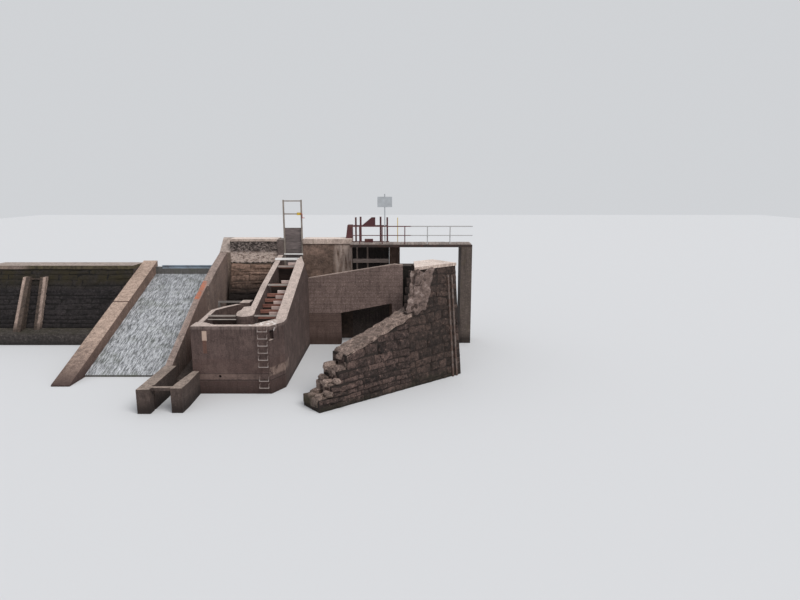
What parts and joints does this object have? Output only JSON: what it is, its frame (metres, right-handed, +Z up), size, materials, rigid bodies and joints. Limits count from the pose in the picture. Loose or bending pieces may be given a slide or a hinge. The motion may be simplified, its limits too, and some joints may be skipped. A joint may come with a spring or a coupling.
{
  "type": "river dam spillway with fish ladder",
  "caption": "Stone and concrete river dam works with a sloping chute, a switchback fish ladder, a sluice gate bay and a footbridge.",
  "frame": {"origin": "centre of the bounding box in plan, at tailwater level", "axes": "+X along the dam to the right bank, +Y upstream, +Z up"},
  "size_m": [27.05, 13.5, 8.04],
  "materials": {
    "old_stone": "rough",
    "cap_concrete": "rough",
    "warm_concrete": "rough",
    "wall_concrete": "matte",
    "wet_concrete": "satin",
    "crest_steel": "satin",
    "weir_timber": "matte",
    "galvanised_steel": "matte",
    "grey_timber": "matte",
    "rusty_steel": "matte",
    "yellow_paint": "satin",
    "red_paint": "satin",
    "dark_timber": "matte",
    "maroon_paint": "satin",
    "plate_steel": "satin"
  },
  "bodies": {
    "works": {"dam_wall": "old_stone", "dam_cap": "cap_concrete", "dam_ledge": "old_stone", "dam_ribs": "cap_concrete", "left_wall": "warm_concrete", "chute_slab": "wet_concrete", "crest_sill": "wet_concrete", "crest_beam": "crest_steel", "right_wall": "wall_concrete", "entrance_wall": "wall_concrete", "entrance_post": "wall_concrete", "bay_end_pier": "cap_concrete", "bay_back_wall": "old_stone", "head_caps": "cap_concrete", "head_pilaster": "wall_concrete", "head_sills": "wet_concrete", "front_wall": "wall_concrete", "corner_wall": "wall_concrete", "outer_wall": "wall_concrete", "divider_wall": "wall_concrete", "side_wall": "wall_concrete", "upper_floor": "wet_concrete", "lower_floors": "wet_concrete", "upper_weirs": "weir_timber", "lower_weirs": "weir_timber", "struts": "galvanised_steel", "bay_frame": "grey_timber", "step_irons": "rusty_steel", "head_posts": "galvanised_steel", "winch_box": "yellow_paint", "gate_wall": "old_stone", "gate_jamb": "grey_timber", "hoist_frame": "maroon_paint", "bridge_deck": "grey_timber", "bridge_beams": "rusty_steel", "bridge_rails": "maroon_paint", "bridge_abutment": "cap_concrete", "sign_post": "plate_steel", "marker_post": "yellow_paint", "deflector_wall": "wall_concrete", "deflector_piers": "wall_concrete", "channel_wall": "old_stone", "stone_low": "old_stone", "stone_high": "old_stone", "stone_cap": "cap_concrete", "wall_rails": "rusty_steel"},
    "head_gate_leaf": {"head_gate": "grey_timber"},
    "crank": {"winch_crank": "red_paint"},
    "sluice_leaf": {"gate_leaf": "dark_timber", "gate_stems": "maroon_paint"}
  },
  "joints": [
    {"name": "sluice_slide", "type": "slide", "parent": "works", "child": "sluice_leaf", "axis": [0, 0, 1], "range_m": [0, 1]},
    {"name": "head_gate_slide", "type": "slide", "parent": "works", "child": "head_gate_leaf", "axis": [0, 0, 1], "range_m": [0, 0.6]},
    {"name": "crank_turn", "type": "hinge", "parent": "works", "child": "crank", "pos_m": [4.2453, 4.7, 6.97], "axis": [1, 0, 0], "continuous": true}
  ],
  "couplings": [
    {"joint": "crank_turn", "follows": "head_gate_slide", "rad_per_m": 41.888}
  ]
}
